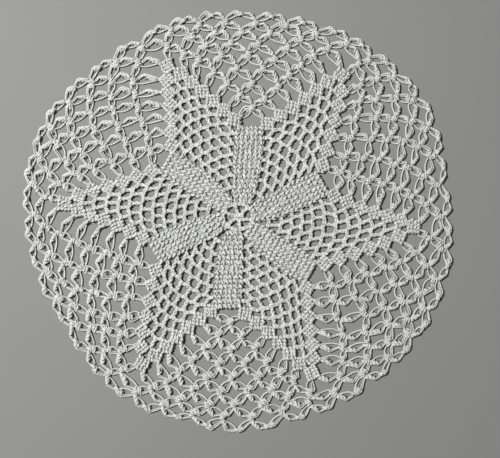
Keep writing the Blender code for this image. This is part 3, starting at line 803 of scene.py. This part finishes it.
def drawPosts(yarn, star, number, curve, below):
    # the posts of a round, each up from an arch of the round below
    holes = holesIn(number)
    widening = number <= netSettings["mostHoles"]
    low, span = netSettings["archFoot" if widening else "sideArchFoot"]
    block = number - netSettings["spokeRounds"]
    for post in range(1, holes):
        under = post if widening else post + 1
        first, last = joint(star, number - 1, under - 1), joint(star, number - 1, under)
        slot = low + span * post / holes
        if block > 0:
            slot += netSettings["starLean"][star] * netSettings["roundLean"][min(1, block - 1)]
        foot = archSpot(below, first, last, slot)
        place = joint(star, number, post)
        top = archSpot(curve, place, place, 0)
        twistedPost(yarn, foot, top)
        netNub(yarn, top, top - foot)


eyeletSettings = dict(
    middle=(-0.18, 0.36), wide=9.2, tall=7.9, stitches=24, width=2.3, pitch=2.2, armWidth=2.0,
    arms=(((-2.6, 8.0), (-1.27, 4.8), (-0.4, 3.05), (-0.6, 0.9)),
          ((6.3, 6.1), (3.05, 3.5), (1.75, 1.55), (2.2, -0.2)),
          ((8.9, -2.0), (5.0, -1.1), (2.6, -1.3)),
          ((1.4, -7.6), (0.7, -4.1), (0.45, -1.5)),
          ((-6.5, -5.7), (-4.5, -2.8), (-2.55, -1.05), (-1.3, 0.45)),
          ((-8.7, 3.2), (-5.6, 2.0), (-3.2, 0.9), (-1.3, 0.7))),
    hub=(((-1.3, 0.6), (0.0, 1.15), (1.9, 1.0)), ((-1.5, -0.3), (0.4, -1.6), (2.5, -1.2))))


def drawEyelets(yarn):
    # a ring of chain, with arms to the small hub at its middle
    middle = Vector(eyeletSettings["middle"])

    def ring(t):
        point = polar(-360.0 * t, 1.0)   # clockwise
        return middle + Vector((point.x * eyeletSettings["wide"], point.y * eyeletSettings["tall"]))

    stitchRun(yarn, ring, eyeletSettings["stitches"], eyeletSettings["width"], chainStitch)
    for stops in eyeletSettings["arms"] + eyeletSettings["hub"]:
        length = sum(math.dist(one, two) for one, two in zip(stops, stops[1:]))
        count = max(2, round(length / eyeletSettings["pitch"]))
        stitchRun(yarn, bent(stops), count, eyeletSettings["armWidth"], chainStitch)


def buildNet():
    yarn = Yarn("starNet", netSettings["sides"])
    rounds = range(1, netSettings["spokeRounds"] + plan["blocks"])
    for star in range(plan["sextants"]):
        curves = {number: netRound(star, number) for number in rounds}
        for number, curve in curves.items():
            drawArches(yarn, star, number, curve)
            if number > 1:
                drawPosts(yarn, star, number, curve, curves[number - 1])
    drawEyelets(yarn)
    return yarn.build()


# each strand of a loop is a row of (share along, mm to the outer side, height in mm)
risingLoop = dict(girth=0.95, strands=dict(
    inner=((-0.04, -0.40, 1.00), (0.10, -1.10, 0.66), (0.24, -1.60, 0.50), (0.40, -1.82, 0.48),
           (0.56, -1.72, 0.52), (0.72, -1.30, 0.70), (0.87, -0.80, 0.95), (1.03, -0.35, 1.05)),
    outer=((-0.04, 0.60, 0.95), (0.12, 1.50, 0.80), (0.28, 2.15, 0.76), (0.46, 2.75, 0.90),
           (0.62, 3.30, 1.10), (0.76, 3.30, 1.25), (0.90, 2.30, 1.35), (1.05, 0.90, 1.25)),
    second=((0.00, 0.10, 0.75), (0.18, 0.85, 0.62), (0.36, 1.45, 0.70), (0.54, 2.00, 1.05),
            (0.72, 2.15, 1.50), (0.88, 1.35, 1.60), (1.04, 0.35, 1.40)),
    closing=((0.57, 0.10, 0.60), (0.65, 0.90, 1.15), (0.76, 0.95, 1.55), (0.88, 0.25, 1.45),
             (1.02, -0.40, 1.10)),
    core=((0.61, -0.60, 0.65), (0.75, -0.25, 1.15), (0.88, -0.35, 1.30), (1.02, -0.55, 1.10)),
    tie=((0.60, 3.60, 0.60), (0.63, 2.80, 1.45), (0.67, 1.60, 2.00), (0.70, 0.35, 1.60), (0.72, -0.35, 0.85)),
    spare=((0.78, 3.45, 0.60), (0.81, 2.60, 1.60), (0.85, 1.30, 2.15), (0.88, 0.05, 1.70),
           (0.90, -0.75, 0.90))))
fallingLoop = dict(girth=0.80, strands=dict(
    inner=((-0.03, -0.45, 1.00), (0.10, -1.00, 0.66), (0.22, -1.45, 0.50), (0.36, -1.66, 0.48),
           (0.50, -1.50, 0.52), (0.64, -1.10, 0.70), (0.82, -0.65, 0.90), (1.02, -0.45, 0.95)),
    outer=((-0.03, 0.60, 0.95), (0.11, 1.75, 0.82), (0.25, 2.75, 0.80), (0.36, 3.60, 0.95),
           (0.45, 4.02, 1.10), (0.54, 3.80, 1.20), (0.67, 2.90, 1.30), (0.83, 1.90, 1.30),
           (1.02, 0.85, 1.05)),
    second=((-0.02, 0.15, 0.75), (0.12, 1.00, 0.62), (0.26, 1.90, 0.66), (0.36, 2.65, 1.00),
            (0.45, 3.25, 1.40), (0.55, 2.85, 1.65), (0.69, 1.95, 1.65), (0.85, 1.15, 1.45),
            (1.02, 0.30, 1.15)),
    closing=((0.45, 1.05, 0.58), (0.51, 1.85, 1.05), (0.58, 1.95, 1.40), (0.66, 1.30, 1.50),
             (0.76, 0.70, 1.40), (0.88, 0.20, 1.15), (1.02, -0.20, 0.95)),
    core=((0.56, 0.55, 0.65), (0.67, 0.20, 1.20), (0.81, -0.15, 1.25), (1.00, -0.45, 1.00)),
    tie=((0.44, 4.35, 0.60), (0.47, 3.50, 1.60), (0.51, 2.40, 2.05), (0.54, 1.40, 1.60), (0.56, 0.75, 0.90)),
    spare=((0.61, 3.75, 0.60), (0.63, 2.80, 1.60), (0.66, 1.60, 2.10), (0.69, 0.50, 1.60),
           (0.71, -0.15, 0.85)),
    last=((0.79, 2.50, 0.60), (0.81, 1.80, 1.55), (0.84, 0.65, 2.05), (0.86, -0.40, 1.50),
          (0.87, -1.00, 0.80))))
loopSettings = dict(
    sides=5,
    radius=0.55, uneven=0.08, shake=0.26, stopShake=0.07, lift=0.08,   # mm, but uneven is a share
    spread=0.24, slide=0.09, tilt=0.42,          # how much loops differ in width, place and lean
    usual=9.0, fixedShare=0.5, mostSwell=1.12,   # mm of a usual loop; a longer one swells, up to a limit
    samples=dict(inner=9, outer=10, second=10, closing=7, core=5, tie=7, spare=7, last=7),
    # height in mm at which each strand of a loop is painted in deepest shade
    dark=dict(inner=-0.6, outer=-0.15, second=0.15, closing=0.2, core=0.3, tie=0.2, spare=0.2, last=0.3),
    apart=("tie", "spare", "last"),              # strands that belong to the knots, and may be missing
    missing=0.12,
    stem=1.8,                                    # mm between a knot and the end of its loops
    blockRoot=(0.72, 0.72), tipRoot=(0.6, 0.9),  # where loops leave a block, across and along
    rimGirth=0.80)


def drawLoop(border, knots, start, end, shape, girth=1.0):
    run = end - start
    long = run.length
    outer = Vector((-run.y, run.x)) / long
    fixed = loopSettings["fixedShare"]
    swell = (shape["girth"] * girth * (1 + wobble(loopSettings["spread"]))
             * min(loopSettings["mostSwell"], fixed + (1 - fixed) * long / loopSettings["usual"]))
    slide, tilt = wobble(loopSettings["slide"]), wobble(loopSettings["tilt"])
    shake, stopShake = loopSettings["shake"], loopSettings["stopShake"]
    for name, rows in shape["strands"].items():
        apart = name in loopSettings["apart"]
        if apart and rng.random() < loopSettings["missing"]:
            continue
        shift = Vector((wobble(shake), wobble(shake)))
        stops = []
        for share, across, height in rows:
            free = math.sin(math.pi * min(1.0, max(0.0, share)))
            place = start + run * (share + slide * free) + outer * (across * swell + tilt * free)
            place = place + shift * free
            stops.append((place.x + wobble(stopShake), place.y + wobble(stopShake),
                          height + wobble(loopSettings["lift"])))
        yarn = knots if apart else border
        yarn.strand(stops, loopSettings["radius"] * (1 + wobble(loopSettings["uneven"])),
                    loopSettings["samples"][name], loopSettings["dark"][name])


# the strands over a knot: (mm to the side, mm outward, height)
knotStrands = (
    ((-1.30, -2.50, 0.80), (-0.70, -1.20, 1.30), (0.15, 0.00, 1.70), (0.85, 1.20, 1.35),
     (1.25, 2.50, 0.80)),
    ((1.30, -2.45, 0.70), (0.75, -1.20, 0.95), (-0.10, 0.10, 1.05), (-0.85, 1.30, 1.00),
     (-1.25, 2.50, 0.75)),
    ((-1.10, -2.20, 0.75), (-1.40, -1.00, 1.15), (-0.95, 0.30, 1.25), (-0.25, 1.30, 1.20),
     (0.25, 2.30, 0.80)),
    ((0.20, -2.30, 0.75), (0.75, -1.10, 1.25), (1.20, 0.10, 1.30), (1.20, 1.20, 1.15),
     (1.00, 2.30, 0.75)),
    ((-1.75, 1.55, 0.60), (-0.95, 1.45, 1.55), (0.00, 1.10, 1.95), (0.85, 0.70, 1.65),
     (1.50, 0.35, 0.75)),
    ((-1.60, -0.20, 0.65), (-0.90, 0.05, 1.70), (0.05, -0.05, 2.15), (0.95, -0.40, 1.75),
     (1.65, -0.75, 0.60)),
    ((-1.55, -1.55, 0.60), (-0.85, -1.30, 1.50), (0.10, -1.25, 1.90), (0.95, -1.50, 1.45),
     (1.55, -1.80, 0.60)))
knotSettings = dict(
    always=4, missing=0.12,              # strands that every knot has, chance that one more is missing
    turn=0.30, long=1.08, longSpan=0.14, broad=1.18, broadSpan=0.16, shake=0.15, lift=0.07,
    # dark: height in mm at which a knot's strand is painted in deepest shade
    radius=0.60, uneven=0.08, samples=7, dark=0.15,
    rimGirth=0.45, rimShift=-0.35)       # a knot on the rim is shorter, and further in by mm


def wrapKnot(knots, place, girth=1.0, shift=0.0):
    # strands crossing over a knot
    turn, shake = wobble(knotSettings["turn"]), knotSettings["shake"]
    cos, sin = math.cos(turn), math.sin(turn)
    out = place.normalized()
    out = Vector((out.x * cos - out.y * sin, out.x * sin + out.y * cos))
    side = Vector((out.y, -out.x)) * rng.choice((-1, 1))
    long = knotSettings["long"] + wobble(knotSettings["longSpan"])
    broad = knotSettings["broad"] + wobble(knotSettings["broadSpan"])
    for number, rows in enumerate(knotStrands):
        if number >= knotSettings["always"] and rng.random() < knotSettings["missing"]:
            continue
        stops = []
        for across, outward, height in rows:
            spot = (place + out * (outward * long * girth + shift + wobble(shake))
                    + side * (across * broad + wobble(shake)))
            stops.append((spot.x, spot.y, height + wobble(knotSettings["lift"])))
        knots.strand(stops, knotSettings["radius"] * (1 + wobble(knotSettings["uneven"])),
                     knotSettings["samples"], knotSettings["dark"])


def blockRoot(star, side, number):
    # near the outer corner of a block
    corner = "blockRoot" if number < plan["blocks"] else "tipRoot"
    return blockPoint(star, side, number, *loopSettings[corner])


def offKnot(point, way):
    # a stem's length from a knot, outward (1) or inward (-1)
    return point + point.normalized() * (way * loopSettings["stem"])


def buildBorder():
    border, knots = (Yarn(name, loopSettings["sides"]) for name in ("loopBorder", "loopKnots"))
    last = plan["rounds"]

    def draw(start, end, shape, girth=1.0):
        drawLoop(border, knots, start, end, shape, girth)

    for spoke in range(plan["sextants"]):
        for level in range(1, last):
            before = blockRoot(spoke + 1, -1, level)
            for place in range(1, level + 1):
                peak = knotAt(spoke, level, place)
                draw(before, offKnot(peak, -1), risingLoop)
                if place < level:
                    after = offKnot(knotAt(spoke, level - 1, place), 1)
                else:
                    after = blockRoot(spoke, 1, level)
                draw(offKnot(peak, -1), after, fallingLoop)
                wrapKnot(knots, peak)
                before = after
        for place in range(1, plan["perSextant"] + 1):
            peak, rim = knotAt(spoke, last, place), rimKnot(spoke, place)
            draw(offKnot(knotAt(spoke, last - 1, place), 1), offKnot(peak, -1), risingLoop)
            draw(offKnot(peak, -1), offKnot(knotAt(spoke, last - 1, place + 1), 1), fallingLoop)
            draw(offKnot(peak, 1), rim, risingLoop, loopSettings["rimGirth"])
            draw(rim, offKnot(knotAt(spoke, last, place + 1), 1), fallingLoop, loopSettings["rimGirth"])
            wrapKnot(knots, peak)
            wrapKnot(knots, rim, knotSettings["rimGirth"], knotSettings["rimShift"])
    return border.build(), knots.build()


starSpokes = buildSpokes()
starBlocks = buildBlocks()
starNet = buildNet()
loopBorder, loopKnots = buildBorder()
pieces = [loopBorder, loopKnots, starSpokes, starBlocks, starNet]

for piece in pieces:
    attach(piece, "root")
    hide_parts("doily")


tableSettings = dict(
    tableTone=(0.235, 0.235, 0.231), roughness=0.8,
    half=1.6, drop=0.00002,              # m, from its middle to an edge, and how far below the lace it lies
    grainScale=9.0, grainDetail=3.0, grainSpan=0.03)


def buildTable():
    half, tone, span = tableSettings["half"], tableSettings["tableTone"], tableSettings["grainSpan"]
    corners = [(-half, -half, 0), (half, -half, 0), (half, half, 0), (-half, half, 0)]
    mesh = bpy.data.meshes.new("table")
    mesh.from_pydata(corners, [], [(0, 1, 2, 3)])
    table = bpy.data.objects.new("table", mesh)
    bpy.context.scene.collection.objects.link(table)
    material, shader, wire = newMaterial("paleTable")
    grain = wire.noise(wire.out("ShaderNodeTexCoord", 3), tableSettings["grainScale"],
                       tableSettings["grainDetail"])
    colour = grain.blend(*(tuple(share * part for part in tone) for share in (1 - span, 1 + span)))
    colour.feed(shader.inputs["Base Color"])
    shader.inputs["Roughness"].default_value = tableSettings["roughness"]
    mesh.materials.append(material)
    table.location.z = -tableSettings["drop"]


buildTable()
print("table laid")
